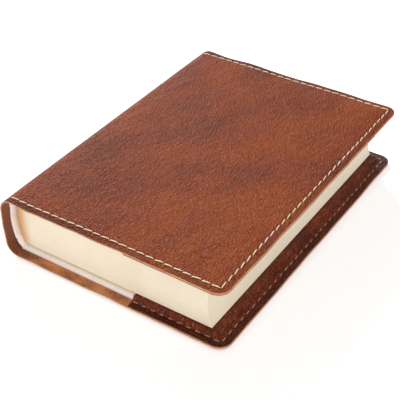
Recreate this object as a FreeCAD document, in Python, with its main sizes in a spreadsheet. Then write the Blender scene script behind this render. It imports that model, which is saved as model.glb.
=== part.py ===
"""A small round-backed bible, its pale case held in a removable stitched leather jacket.

The closed book lies on its back cover. X runs from the spine (-X) to the fore-edge (+X), Y from
the tail (-Y) to the head (+Y) and Z from the back cover (z = 0) up to the front cover. The origin
is the centre of the footprint, on the surface that the book lies on. All sizes are millimetres.
"""

import FreeCAD, Part
import math
import os

import Sketcher

DRIVING_SIZES = (
    # alias, millimetres, what it measures
    ("jacket_width", 122.4, "spine crown to leather fore-edge"),
    ("jacket_height", 166.0, "tail to head edge of the leather"),
    ("jacket_thickness", 33.0, "outer face to outer face of the closed book"),
    ("leather_thickness", 1.4, "jacket leather"),
    ("corner_radius", 6.0, "rounding of the four free jacket corners"),
    ("front_fold_radius", 4.0, "outer radius where the leather folds onto the front"),
    ("back_fold_radius", 5.0, "outer radius where the leather folds under the back"),
    ("spine_bulge", 0.7, "how far the leather spine bows out between its folds"),
    ("fold_clearance", 0.2, "parting between the leather spine and each fold"),
    ("board_thickness", 1.8, "cover board of the case"),
    ("board_spine_inset", 5.9, "spine crown to the boards' spine edge"),
    ("board_fore_inset", 7.4, "leather fore-edge to the boards' fore-edge"),
    ("board_end_inset", 4.6, "leather head or tail edge to the boards' edge"),
    ("endpaper_thickness", 0.2, "pastedown glued inside each board"),
    ("endpaper_inset", 1.5, "board edge to pastedown edge"),
    ("flap_width", 50.4, "pocket flap, from the fore-edge inwards"),
    ("flap_thickness", 0.8, "thinner leather of the pocket flaps"),
    ("flap_clearance", 0.1, "pocket room around each board edge"),
    ("flap_corner_radius", 2.0, "rounding of the flap over a board corner"),
    ("mouth_cut", 1.0, "how far the pocket's cut runs out past its open side"),
    ("page_width", 106.1, "spine fold to fore-edge of every leaf"),
    ("page_height", 153.0, "tail to head of every leaf"),
    ("page_clearance", 0.2, "free room between the flaps and the outer leaves"),
    ("page_spine_inset", 4.2, "spine crown of the leather to that of the leaves"),
    ("round_radius", 36.6, "rounding of the back, repeated in the fore-edge"),
    ("leaf_thickness", 0.2, "one turning leaf, a few thin sheets together"),
    ("tape_thickness", 0.3, "linen sewing tape"),
    ("tape_width", 10.0, "linen sewing tape, along the spine"),
    ("tape_spacing", 42.0, "from one sewing tape to the next"),
    ("tape_end_inset", 1.0, "outermost sewn leaves to each end of a tape"),
    ("lining_thickness", 0.4, "mull and paper glued over the tapes"),
    ("lining_height", 144.0, "spine lining, tail to head"),
    ("hollow_gap", 1.4, "leaves to case spine, all the hollow of the back"),
    ("case_spine_thickness", 1.1, "curved card of the case spine"),
    ("case_spine_inset", 3.3, "end of the case spine to the inner face of each board"),
    ("stitch_margin", 3.0, "leather edge to the stitch line"),
    ("stitch_pitch", 4.8, "one stitch to the next"),
    ("stitch_length", 3.6, "visible length of a stitch"),
    ("stitch_width", 0.7, "width of the waxed thread"),
    ("stitch_start", 6.0, "spine crown to the first outer stitch"),
    ("groove_width", 0.9, "groove that the outer stitches lie in"),
    ("groove_depth", 0.35, "depth of the groove, and height of the thread"),
)

TURNING_LEAVES = 6
SECTIONS = 16
FIRST_SECTION = 2

doc = FreeCAD.newDocument("bible")
sheet = doc.addObject("Spreadsheet::Sheet", "Sizes")
nodes = []


class Dim:
    """A length that keeps its value beside the sheet expression that gives it."""

    def __init__(self, value, text):
        self.value = value
        self.text = text

    @staticmethod
    def of(number):
        """Wrap a plain number, and leave a Dim as it is."""
        return number if isinstance(number, Dim) else Dim(float(number), repr(float(number)))

    def join(self, other, sign, value):
        return Dim(value, f"({self.text} {sign} {Dim.of(other).text})")

    def __add__(self, other):
        return self.join(other, "+", self.value + Dim.of(other).value)

    def __sub__(self, other):
        return self.join(other, "-", self.value - Dim.of(other).value)

    def __mul__(self, other):
        return self.join(other, "*", self.value * Dim.of(other).value)

    def __truediv__(self, other):
        return self.join(other, "/", self.value / Dim.of(other).value)

    def __neg__(self):
        return Dim(0.0, "0") - self


def square_root(dim):
    """Square root of a Dim."""
    return Dim(math.sqrt(dim.value), f"sqrt({dim.text})")


def fill_sheet():
    """Write the driving sizes into the sheet and return them as Dims by alias."""
    for row, (alias, number, meaning) in enumerate(DRIVING_SIZES, start=1):
        sheet.set(f"A{row}", meaning)
        sheet.set(f"B{row}", repr(number))
        sheet.setAlias(f"B{row}", alias)
    doc.recompute()
    return {alias: Dim(float(sheet.get(alias)), f"Sizes.{alias}") for alias, _, _ in DRIVING_SIZES}


size = fill_sheet()

# Places worked out from the driving sizes.
left = -size["jacket_width"] / 2
right = size["jacket_width"] / 2
half_height = size["jacket_height"] / 2
middle = size["jacket_thickness"] / 2
board_left = left + size["board_spine_inset"]
board_right = right - size["board_fore_inset"]
board_half = half_height - size["board_end_inset"]
flap_left = right - size["flap_width"]
stitch_x = right - size["stitch_margin"]
stitch_y = half_height - size["stitch_margin"]
round_x = left + size["page_spine_inset"] + size["round_radius"]

# Heights above the outer face of a cover, the same on the front and on the back.
board_outer = size["leather_thickness"]
board_inner = board_outer + size["board_thickness"]
pastedown_inner = board_inner + size["endpaper_thickness"]
flap_inner = pastedown_inner + size["flap_thickness"]
page_start = flap_inner + size["page_clearance"]


class Cover:
    """Front or back cover: turns a height above its outer face into a level above the table."""

    def __init__(self, name, fold_radius, is_front):
        self.name = name
        self.fold_radius = fold_radius
        self.is_front = is_front

    def level(self, height):
        """Level of a height above the cover's outer face."""
        return size["jacket_thickness"] - height if self.is_front else height

    def floor_of(self, low, high):
        """Lower level of a layer that lies between two heights."""
        return self.level(high if self.is_front else low)

    def profile(self, corners):
        """Turn a profile drawn for the back cover over when it is for the front."""
        if not self.is_front:
            return corners
        count = len(corners)
        flipped = []
        for index in range(count):
            x, height, _ = corners[count - 1 - index]
            arc = corners[(count - 2 - index) % count][2]
            flipped.append((x, self.level(height), arc))
        return flipped


FRONT = Cover("front", size["front_fold_radius"], True)
BACK = Cover("back", size["back_fold_radius"], False)


def add_body(label):
    """Start a PartDesign body that becomes one sub-part."""
    body = doc.addObject("PartDesign::Body", f"Body_{label}")
    body.Label = label
    body.Placement = FreeCAD.Placement()
    nodes.append(body)
    return body


def arc_between(start, end, radius):
    """Counter-clockwise arc of a circle from one point to another."""
    chord = end - start
    half = chord.Length / 2
    rise = math.sqrt(radius * radius - half * half)
    normal = FreeCAD.Vector(-chord.y, chord.x, 0).normalize()
    centre = (start + end) / 2 + normal * rise
    first = math.atan2(start.y - centre.y, start.x - centre.x)
    last = math.atan2(end.y - centre.y, end.x - centre.x)
    circle = Part.Circle(centre, FreeCAD.Vector(0, 0, 1), radius)
    return Part.ArcOfCircle(circle, first, last)


def add_sketch(body, name, plane, corners, level=None):
    """Sketch a closed outline on an origin plane of the body, every corner bound to the sheet.

    A corner is (across, up, arc). The arc belongs to the edge that leaves the corner: None for a
    straight edge, or (radius, turn), where turn is 1 when the edge bends left and -1 when right.
    """
    sketch = body.newObject("Sketcher::SketchObject", name)
    support = next(item for item in body.Origin.OriginFeatures if item.Role == plane)
    sketch.AttachmentSupport = [(support, "")]
    sketch.MapMode = "FlatFace"
    if level is not None:
        sketch.AttachmentOffset = FreeCAD.Placement(
            FreeCAD.Vector(0, 0, level.value), FreeCAD.Rotation())
        sketch.setExpression("AttachmentOffset.Base.z", level.text)

    points = [FreeCAD.Vector(across.value, up.value, 0) for across, up, _ in corners]
    ends = []
    for index, (_, _, arc) in enumerate(corners):
        here, there = points[index], points[(index + 1) % len(points)]
        if arc is None:
            edge = sketch.addGeometry(Part.LineSegment(here, there), False)
            ends.append((edge, 1, 2))
        elif arc[1] > 0:
            edge = sketch.addGeometry(arc_between(here, there, arc[0].value), False)
            ends.append((edge, 1, 2))
        else:
            edge = sketch.addGeometry(arc_between(there, here, arc[0].value), False)
            ends.append((edge, 2, 1))

    def bind(dim, *terms):
        number = sketch.addConstraint(Sketcher.Constraint(*terms, dim.value))
        sketch.setExpression(f"Constraints[{number}]", dim.text)

    for index, (across, up, arc) in enumerate(corners):
        edge, first, last = ends[index]
        following, next_first, _ = ends[(index + 1) % len(ends)]
        sketch.addConstraint(
            Sketcher.Constraint("Coincident", edge, last, following, next_first))
        bind(across, "DistanceX", -1, 1, edge, first)
        bind(up, "DistanceY", -1, 1, edge, first)
        if arc is not None:
            bind(arc[0], "Radius", edge)
    return sketch


def add_pad(body, sketch, length, both_ways=False):
    """Pad a sketch along its plane's normal, or half each way."""
    pad = body.newObject("PartDesign::Pad", f"Pad_{sketch.Name}")
    pad.Profile = sketch
    pad.SideType = "Symmetric" if both_ways else "One side"
    pad.setExpression("Length", length.text)
    body.Tip = pad
    doc.recompute()
    return pad


def add_pocket(body, sketch, depth, upwards):
    """Cut a sketch into the body, and make sure that it removes material."""
    before = body.Shape.Volume
    pocket = body.newObject("PartDesign::Pocket", f"Pocket_{sketch.Name}")
    pocket.Profile = sketch
    pocket.Reversed = upwards
    pocket.setExpression("Length", depth.text)
    body.Tip = pocket
    doc.recompute()
    if body.Shape.Volume >= before:
        raise RuntimeError(f"{pocket.Name} cuts nothing")
    return pocket


def rectangle(x_low, x_high, half_y, radius=None):
    """Outline from x_low to x_high, with its two +X corners rounded when a radius is given."""
    if radius is None:
        return [(x_low, -half_y, None), (x_high, -half_y, None),
                (x_high, half_y, None), (x_low, half_y, None)]
    return [(x_low, -half_y, None), (x_high - radius, -half_y, (radius, 1)),
            (x_high, radius - half_y, None), (x_high, half_y - radius, (radius, 1)),
            (x_high - radius, half_y, None), (x_low, half_y, None)]


def make_panel(cover):
    """Leather of one cover: the flat panel, the fold up to the spine, and the stitch groove."""
    body = add_body(f"jacket_{cover.name}_panel")
    leather = size["leather_thickness"]
    radius = cover.fold_radius
    fold_out = left + size["spine_bulge"]
    fold_end = fold_out + radius
    outer = (radius, 1)
    inner = (radius - leather, -1)
    profile = cover.profile([
        (fold_end, Dim.of(0), None),
        (right, Dim.of(0), None),
        (right, leather, None),
        (fold_end, leather, inner),
        (fold_out + leather, radius, None),
        (fold_out, radius, outer),
    ])
    sketch = add_sketch(body, f"{cover.name}_panel_profile", "XZ_Plane", profile)
    pad = add_pad(body, sketch, size["jacket_height"], both_ways=True)
    corners = []
    for number, edge in enumerate(pad.Shape.Edges, start=1):
        box = edge.BoundBox
        at_corner = abs(box.XMin - right.value) < 0.01 and box.XLength < 0.01
        if at_corner and box.YLength < 0.01:
            corners.append(f"Edge{number}")
    rounding = body.newObject("PartDesign::Fillet", f"{cover.name}_corners")
    rounding.Base = (pad, corners)
    rounding.setExpression("Radius", size["corner_radius"].text)
    body.Tip = rounding
    doc.recompute()

    half_groove = size["groove_width"] / 2
    start = left + size["stitch_start"]
    outer_x, inner_x = stitch_x + half_groove, stitch_x - half_groove
    outer_y, inner_y = stitch_y + half_groove, stitch_y - half_groove
    groove = add_sketch(body, f"{cover.name}_groove", "XY_Plane", [
        (start, -outer_y, None), (outer_x, -outer_y, None),
        (outer_x, outer_y, None), (start, outer_y, None),
        (start, inner_y, None), (inner_x, inner_y, None),
        (inner_x, -inner_y, None), (start, -inner_y, None),
    ], level=cover.level(Dim.of(0)))
    add_pocket(body, groove, size["groove_depth"], upwards=not cover.is_front)


def make_jacket_spine():
    """Leather spine between the two folds, bowed out a little."""
    body = add_body("jacket_spine")
    leather = size["leather_thickness"]
    bulge = size["spine_bulge"]
    low = size["back_fold_radius"] + size["fold_clearance"]
    high = size["jacket_thickness"] - size["front_fold_radius"] - size["fold_clearance"]
    half_chord = (high - low) / 2
    bow = (half_chord * half_chord + bulge * bulge) / (bulge * 2)
    outer_x = left + bulge
    inner_x = outer_x + leather
    sketch = add_sketch(body, "jacket_spine_profile", "XZ_Plane", [
        (outer_x, low, None),
        (inner_x, low, (bow - leather, -1)),
        (inner_x, high, None),
        (outer_x, high, (bow, 1)),
    ])
    add_pad(body, sketch, size["jacket_height"], both_ways=True)


def make_pocket_flap(cover):
    """Flap stitched inside the jacket's edge: a flat margin, a step over the board, a pocket."""
    body = add_body(f"{cover.name}_pocket_flap")
    thickness = size["flap_thickness"]
    pocket_depth = pastedown_inner - board_outer
    pocket_right = board_right + size["flap_clearance"]
    pocket_half = board_half + size["flap_clearance"]

    low = cover.floor_of(board_outer, board_outer + thickness)
    margin = add_sketch(body, f"{cover.name}_flap_margin", "XY_Plane",
                        rectangle(flap_left, right, half_height, size["corner_radius"]), low)
    add_pad(body, margin, thickness)

    low = cover.floor_of(board_outer, flap_inner)
    raised = add_sketch(body, f"{cover.name}_flap_step", "XY_Plane",
                        rectangle(flap_left, pocket_right + thickness, pocket_half + thickness,
                                  size["flap_corner_radius"]), low)
    add_pad(body, raised, flap_inner - board_outer)

    pocket = add_sketch(body, f"{cover.name}_flap_pocket", "XY_Plane",
                        rectangle(flap_left - size["mouth_cut"], pocket_right, pocket_half),
                        cover.level(board_outer))
    add_pocket(body, pocket, pocket_depth, upwards=not cover.is_front)


def add_plate(label, x_low, x_high, half_y, low, thickness):
    """Flat rectangular plate, bound to the sheet."""
    plate = doc.addObject("Part::Box", f"Plate_{label}")
    plate.Label = label
    plate.Placement = FreeCAD.Placement()
    plate.setExpression("Length", (x_high - x_low).text)
    plate.setExpression("Width", (half_y * 2).text)
    plate.setExpression("Height", thickness.text)
    plate.setExpression("Placement.Base.x", x_low.text)
    plate.setExpression("Placement.Base.y", (-half_y).text)
    plate.setExpression("Placement.Base.z", low.text)
    nodes.append(plate)


def make_board(cover):
    """Board of the case and the endpaper half that is pasted down inside it."""
    add_plate(f"{cover.name}_board", board_left, board_right, board_half,
              cover.floor_of(board_outer, board_inner), size["board_thickness"])
    inset = size["endpaper_inset"]
    add_plate(f"{cover.name}_pastedown", board_left + inset, board_right - inset,
              board_half - inset, cover.floor_of(board_inner, pastedown_inner),
              size["endpaper_thickness"])


def round_back_x(radius, level):
    """Where a circle about the rounding's centre line meets a level, on the spine side."""
    rise = level - middle
    return round_x - square_root(radius * radius - rise * rise)


def make_leaves(label, low, high):
    """Leaves between two levels: one slice of the rounded text block."""
    body = add_body(label)
    radius = size["round_radius"]
    spine_low, spine_high = round_back_x(radius, low), round_back_x(radius, high)
    sketch = add_sketch(body, f"{label}_profile", "XZ_Plane", [
        (spine_low, low, None),
        (spine_low + size["page_width"], low, (radius, -1)),
        (spine_high + size["page_width"], high, None),
        (spine_high, high, (radius, 1)),
    ])
    add_pad(body, sketch, size["page_height"], both_ways=True)


def add_back_strip(label, inner_radius, thickness, low, high, length):
    """Strip that follows the rounded back: case spine, lining or sewing tape."""
    body = add_body(label)
    outer_radius = inner_radius + thickness
    sketch = add_sketch(body, f"{label}_profile", "XZ_Plane", [
        (round_back_x(outer_radius, low), low, None),
        (round_back_x(inner_radius, low), low, (inner_radius, -1)),
        (round_back_x(inner_radius, high), high, None),
        (round_back_x(outer_radius, high), high, (outer_radius, 1)),
    ])
    add_pad(body, sketch, length, both_ways=True)
    return body, sketch


def make_text_block():
    """Flyleaves, turning leaves and sewn sections, from the front of the book to the back."""
    leaf = size["leaf_thickness"]
    high = size["jacket_thickness"] - page_start
    make_leaves("front_flyleaf", high - leaf, high)
    high = high - leaf
    for number in range(1, TURNING_LEAVES + 1):
        make_leaves(f"front_leaf_{number}", high - leaf, high)
        high = high - leaf

    make_leaves("back_flyleaf", page_start, page_start + leaf)
    low = page_start + leaf
    section = (high - low) / SECTIONS
    for index in range(SECTIONS):
        level = high - section * (index + 1)
        make_leaves(f"section_{FIRST_SECTION + index:02d}", level, level + section)
    return low, high


def add_sketch_copy(body, sketch, name, along):
    """Repeat a profile of the same body further along the spine."""
    copied = body.newObject("Sketcher::SketchObject", name)
    copied.AttachmentSupport = sketch.AttachmentSupport
    copied.MapMode = "FlatFace"
    copied.AttachmentOffset = FreeCAD.Placement(
        FreeCAD.Vector(0, 0, along.value), FreeCAD.Rotation())
    copied.setExpression("AttachmentOffset.Base.z", along.text)
    copied.addGeometry(sketch.Geometry, False)
    for constraint in sketch.Constraints:
        copied.addConstraint(constraint)
    for path, expression in sketch.ExpressionEngine:
        if path.startswith("Constraints"):
            copied.setExpression(path, expression)
    return copied


def make_back_of_block(low, high):
    """Sewing tapes and lining glued on the back of the sections that stay with the spine."""
    radius = size["round_radius"]
    end = size["tape_end_inset"]
    body, sketch = add_back_strip("sewing_tapes", radius, size["tape_thickness"],
                                  low + end, high - end, size["tape_width"])
    for index, side in enumerate((1, -1), start=1):
        moved = add_sketch_copy(body, sketch, f"sewing_tapes_row_{index}",
                                size["tape_spacing"] * side)
        add_pad(body, moved, size["tape_width"], both_ways=True)
    add_back_strip("spine_lining", radius + size["tape_thickness"], size["lining_thickness"],
                   low, high, size["lining_height"])


def make_case_spine():
    """Curved card between the boards, with a hollow between it and the leaves."""
    low = board_inner + size["case_spine_inset"]
    high = size["jacket_thickness"] - low
    add_back_strip("case_spine", size["round_radius"] + size["hollow_gap"],
                   size["case_spine_thickness"], low, high, board_half * 2)


def stitch_row(start, end, low, height):
    """Evenly spaced stitches on the straight line from start to end."""
    run = end - start
    pitch = size["stitch_pitch"].value
    count = max(1, round(run.Length / pitch))
    step = run / count
    direction = FreeCAD.Vector(run).normalize()
    side = FreeCAD.Vector(-direction.y, direction.x, 0)
    half_width = side * (size["stitch_width"].value / 2)
    stitch = direction * size["stitch_length"].value
    boxes = []
    for index in range(count):
        first = start + step * (index + 0.5) - stitch / 2
        corners = [first - half_width, first + stitch - half_width,
                   first + stitch + half_width, first + half_width]
        raised = [FreeCAD.Vector(corner.x, corner.y, low) for corner in corners]
        face = Part.Face(Part.makePolygon(raised + raised[:1]))
        boxes.append(face.extrude(FreeCAD.Vector(0, 0, height)))
    return boxes


def make_stitching(cover):
    """Thread of one cover: stitches in the outer groove and stitches on the flap's margin."""
    depth = size["groove_depth"].value
    outer_low = cover.floor_of(Dim.of(0), size["groove_depth"]).value
    margin_top = board_outer + size["flap_thickness"]
    inner_low = cover.floor_of(margin_top, margin_top + size["groove_depth"]).value
    layers = ((left.value + size["stitch_start"].value, outer_low), (flap_left.value, inner_low))
    boxes = []
    for start_x, low in layers:
        tail_start = FreeCAD.Vector(start_x, -stitch_y.value, 0)
        tail_corner = FreeCAD.Vector(stitch_x.value, -stitch_y.value, 0)
        head_corner = FreeCAD.Vector(stitch_x.value, stitch_y.value, 0)
        head_start = FreeCAD.Vector(start_x, stitch_y.value, 0)
        boxes += stitch_row(tail_start, tail_corner, low, depth)
        boxes += stitch_row(tail_corner, head_corner, low, depth)
        boxes += stitch_row(head_corner, head_start, low, depth)
    thread = doc.addObject("Part::Feature", f"Thread_{cover.name}")
    thread.Label = f"{cover.name}_stitching"
    thread.Shape = Part.makeCompound(boxes)
    thread.Placement = FreeCAD.Placement()
    nodes.append(thread)


def check_and_write():
    """Stop on any failed object or bad shape, then write one STEP file per sub-part."""
    for item in doc.Objects:
        if "Invalid" in item.State or "Error" in item.State:
            raise RuntimeError(f"{item.Name} is {item.State}")
    for node in nodes:
        if node.Shape.isNull() or not node.Shape.isValid():
            raise RuntimeError(f"{node.Label} has no valid shape")
    os.makedirs("parts", exist_ok=True)
    for node in nodes:
        node.Shape.exportStep(f"parts/{node.Label}.step")
        box = node.Shape.BoundBox
        print(f"{node.Label:22s} {node.Shape.Volume:10.2f} mm3  x {box.XMin:7.2f} {box.XMax:7.2f}"
              f"  y {box.YMin:7.2f} {box.YMax:7.2f}  z {box.ZMin:6.2f} {box.ZMax:6.2f}")


for side in (FRONT, BACK):
    make_panel(side)
    make_pocket_flap(side)
    make_stitching(side)
    make_board(side)
make_jacket_spine()
make_case_spine()
section_low, section_high = make_text_block()
make_back_of_block(section_low, section_high)
doc.recompute()
check_and_write()
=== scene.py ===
"""A small bible with a rounded text block, in a removable stitched leather jacket.

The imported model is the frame: every size is read from its nodes or is a field of the class that
needs it. Sizes are millimetres until a mesh is finished, when it is scaled to metres. X runs from
the spine to the fore-edge, Y from the tail to the head and Z from the back cover to the front.
"""

from __future__ import annotations

import logging
import math
import random
from collections.abc import Callable, Mapping, Sequence
from dataclasses import dataclass, field
from enum import Enum
from typing import Any

import bmesh
import bpy
from mathutils import Matrix, Vector, noise


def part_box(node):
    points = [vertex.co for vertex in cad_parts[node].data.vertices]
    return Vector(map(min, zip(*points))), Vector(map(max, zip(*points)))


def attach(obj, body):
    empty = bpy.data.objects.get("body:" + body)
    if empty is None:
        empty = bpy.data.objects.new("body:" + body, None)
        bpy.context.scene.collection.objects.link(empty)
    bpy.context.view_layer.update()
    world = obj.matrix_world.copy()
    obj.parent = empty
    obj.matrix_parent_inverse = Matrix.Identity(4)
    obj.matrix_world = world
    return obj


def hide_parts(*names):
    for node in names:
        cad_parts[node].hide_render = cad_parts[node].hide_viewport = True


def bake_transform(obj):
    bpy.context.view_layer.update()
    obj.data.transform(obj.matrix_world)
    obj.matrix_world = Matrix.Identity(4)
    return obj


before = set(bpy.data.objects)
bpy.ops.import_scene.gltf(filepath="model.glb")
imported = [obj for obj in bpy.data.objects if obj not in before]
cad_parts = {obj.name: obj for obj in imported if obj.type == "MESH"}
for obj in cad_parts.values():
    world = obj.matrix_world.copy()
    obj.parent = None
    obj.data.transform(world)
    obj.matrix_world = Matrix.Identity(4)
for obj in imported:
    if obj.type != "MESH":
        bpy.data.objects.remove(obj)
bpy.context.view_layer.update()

MM = 0.001
SLIVER = 0.12
ARRIS_ANGLE = math.radians(50)
HIDE = "hide"
LAID = "laid"
LOG = logging.getLogger("bible")

Colour = tuple[float, float, float, float]
Placing = Callable[[float, float], Vector]


def dye(red: int, green: int, blue: int) -> Colour:
    """Turn a display colour into the linear colour that a shader takes.

    Args:
        red: Red, from 0 to 255.
        green: Green, from 0 to 255.
        blue: Blue, from 0 to 255.

    Returns:
        Linear red, green, blue and an alpha of 1.
    """
    def linear(level: int) -> float:
        """Linear light of one display level."""
        share = level / 255
        return share / 12.92 if share <= 0.04045 else ((share + 0.055) / 1.055) ** 2.4

    return linear(red), linear(green), linear(blue), 1.0


def ease(low: float, high: float, value: float) -> float:
    """Rise smoothly from 0 at low to 1 at high."""
    share = min(1.0, max(0.0, (value - low) / (high - low)))
    return share * share * (3 - 2 * share)


def hump(distance: float, width: float) -> float:
    """Height of a soft bell of the given half width, 1 at its middle."""
    return math.exp(-(distance / width) ** 2)


def ripple(across: float, along: float, size: tuple[float, float], layer: float) -> float:
    """Smooth noise from -1 to 1 with ripples of a size, its own pattern for each layer."""
    return noise.noise(Vector((across / size[0], along / size[1], layer)))


def packed_box(node: str) -> tuple[Vector, Vector]:
    """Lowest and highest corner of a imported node, in millimetres."""
    low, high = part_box(node)
    return low / MM, high / MM


class Side(Enum):
    """The two covers of the book."""

    FRONT = "front"
    BACK = "back"

    @property
    def outward(self) -> int:
        """1 where the cover faces up on the closed book, and -1 where it faces down."""
        return 1 if self is Side.FRONT else -1

    @property
    def body(self) -> str:
        """Name of the moving body of this cover."""
        return f"{self.value}_cover"


# ---------------------------------------------------------------- shader maths


def operator(operation: str, reflected: bool = False) -> Callable[[Value, Any], Value]:
    """Make the method of a Python operator that adds a Math node.

    Args:
        operation: The Math node's operation.
        reflected: Whether the plain number stands first, as in 1 - mask.

    Returns:
        The method.
    """
    def method(this: Value, other: Any) -> Value:
        """Work out the operator on a shader number and another."""
        return this.math(operation, *((other, this) if reflected else (this, other)))

    return method


class Value:
    """A shader number whose Python operators add Math nodes."""

    __add__, __radd__ = operator("ADD"), operator("ADD", reflected=True)
    __sub__, __rsub__ = operator("SUBTRACT"), operator("SUBTRACT", reflected=True)
    __mul__, __rmul__ = operator("MULTIPLY"), operator("MULTIPLY", reflected=True)
    __truediv__, __rtruediv__ = operator("DIVIDE"), operator("DIVIDE", reflected=True)
    __pow__, __rpow__ = operator("POWER"), operator("POWER", reflected=True)

    def __init__(self, shader: Shader, socket: bpy.types.NodeSocket) -> None:
        """Wrap an output socket of a node in that shader."""
        self.shader = shader
        self.socket = socket

    def math(self, operation: str, *terms: Any) -> Value:
        """Add a Math node that works on the terms, or on this number alone."""
        inputs = dict(enumerate(terms or (self,)))
        return self.shader.value("ShaderNodeMath", {"operation": operation}, inputs)

    def ease(self, low: float, high: float) -> Value:
        """Rise smoothly from 0 where this number is low to 1 where it is high."""
        settings = {"interpolation_type": "SMOOTHSTEP"}
        inputs = {"Value": self, "From Min": low, "From Max": high}
        return self.shader.value("ShaderNodeMapRange", settings, inputs)


class Shader:
    """One material: adds nodes, links them and closes with a Principled surface."""

    def __init__(self, name: str) -> None:
        """Start an empty material.

        Args:
            name: The material's name.
        """
        self.material = bpy.data.materials.new(name)
        self.material.use_nodes = True
        self.tree = self.material.node_tree
        self.tree.nodes.clear()

    def node(self, kind: str, settings: Mapping[str, Any], inputs: Mapping[Any, Any]) -> bpy.types.Node:
        """Add one node.

        Args:
            kind: The node's type.
            settings: Properties, set before the sockets.
            inputs: Values or links by the socket's name or number.

        Returns:
            The new node.
        """
        made = self.tree.nodes.new(kind)
        for name, setting in settings.items():
            setattr(made, name, setting)
        for key, given in inputs.items():
            if isinstance(given, Value):
                self.tree.links.new(given.socket, made.inputs[key])
            else:
                made.inputs[key].default_value = given
        return made

    def value(
        self, kind: str, settings: Mapping[str, Any], inputs: Mapping[Any, Any], output: Any = 0
    ) -> Value:
        """Add one node and return one of its outputs, the first unless another is named."""
        return Value(self, self.node(kind, settings, inputs).outputs[output])

    def laid(self, attribute: str) -> Value:
        """A stored place of the surface, in millimetres, that stays put as the piece bends."""
        return self.value("ShaderNodeAttribute", {"attribute_name": attribute}, {}, "Vector")

    def resting(self) -> Value:
        """Object coordinates in millimetres, for a piece that never bends."""
        place = self.value("ShaderNodeTexCoord", {}, {}, "Object")
        return self.scaled(place, (1 / MM, 1 / MM, 1 / MM))

    def scaled(self, place: Value, factors: tuple[float, float, float]) -> Value:
        """Multiply the three numbers of a place by factors."""
        inputs = {"Vector": place, "Scale": factors}
        return self.value("ShaderNodeMapping", {"vector_type": "POINT"}, inputs)

    def drawn(self, place: Value, long: float, wide: float, turn: float = 0.0) -> Value:
        """Measure a place in marks of a size, drawn out at an angle from X.

        Args:
            place: Place in millimetres.
            long: Length of one mark in millimetres.
            wide: Its width in millimetres.
            turn: Angle in degrees from X to the mark's length.

        Returns:
            The place, with one unit to each mark.
        """
        inputs = {
            "Vector": place, "Rotation": (0.0, 0.0, math.radians(turn)), "Scale": (long, wide, 1.0)}
        return self.value("ShaderNodeMapping", {"vector_type": "TEXTURE"}, inputs)

    def split(self, place: Value) -> tuple[Value, ...]:
        """The three numbers of a place."""
        parts = self.node("ShaderNodeSeparateXYZ", {}, {"Vector": place}).outputs
        return tuple(Value(self, part) for part in parts)

    def shifted(self, place: Value, by: Value, amount: float) -> Value:
        """Push a place about by a colour or vector, scaled to the amount."""
        inputs = {0: by, 1: (amount, amount, amount), 2: place}
        return self.value("ShaderNodeVectorMath", {"operation": "MULTIPLY_ADD"}, inputs)

    def cloud(self, place: Value, detail: float = 4.0, rough: float = 0.55, output: Any = 0) -> Value:
        """Soft noise with one feature per unit of the place."""
        settings = {"noise_dimensions": "3D"}
        inputs = {"Vector": place, "Scale": 1.0, "Detail": detail, "Roughness": rough}
        return self.value("ShaderNodeTexNoise", settings, inputs, output)

    def cells(self, place: Value) -> Value:
        """Distance to the edge of cells about one unit across."""
        settings = {"voronoi_dimensions": "2D", "feature": "DISTANCE_TO_EDGE"}
        inputs = {"Vector": place, "Scale": 1.0, "Randomness": 1.0}
        return self.value("ShaderNodeTexVoronoi", settings, inputs, "Distance")

    def mix(self, factor: Value | float, first: Any, second: Any) -> Value:
        """Blend two colours."""
        settings = {"data_type": "RGBA", "clamp_factor": True}
        return self.value("ShaderNodeMix", settings, {0: factor, 6: first, 7: second}, 2)

    def bump(self, height: Value, rise: float, under: Value | None = None) -> Value:
        """Normal of a relief.

        Args:
            height: Relief, from 0 to 1.
            rise: Height in millimetres that 1 stands for.
            under: Normal that the relief is added to.

        Returns:
            The new normal.
        """
        inputs: dict[str, Any] = {"Height": height, "Strength": 1.0, "Distance": rise * MM}
        if under is not None:
            inputs["Normal"] = under
        return self.value("ShaderNodeBump", {}, inputs)

    def close(self, inputs: Mapping[str, Any]) -> bpy.types.Material:
        """Finish with a Principled surface with the given sockets, and return the material."""
        surface = self.node("ShaderNodeBsdfPrincipled", {}, inputs)
        self.node("ShaderNodeOutputMaterial", {}, {"Surface": Value(self, surface.outputs[0])})
        return self.material


# ---------------------------------------------------------------- finishes


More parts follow.
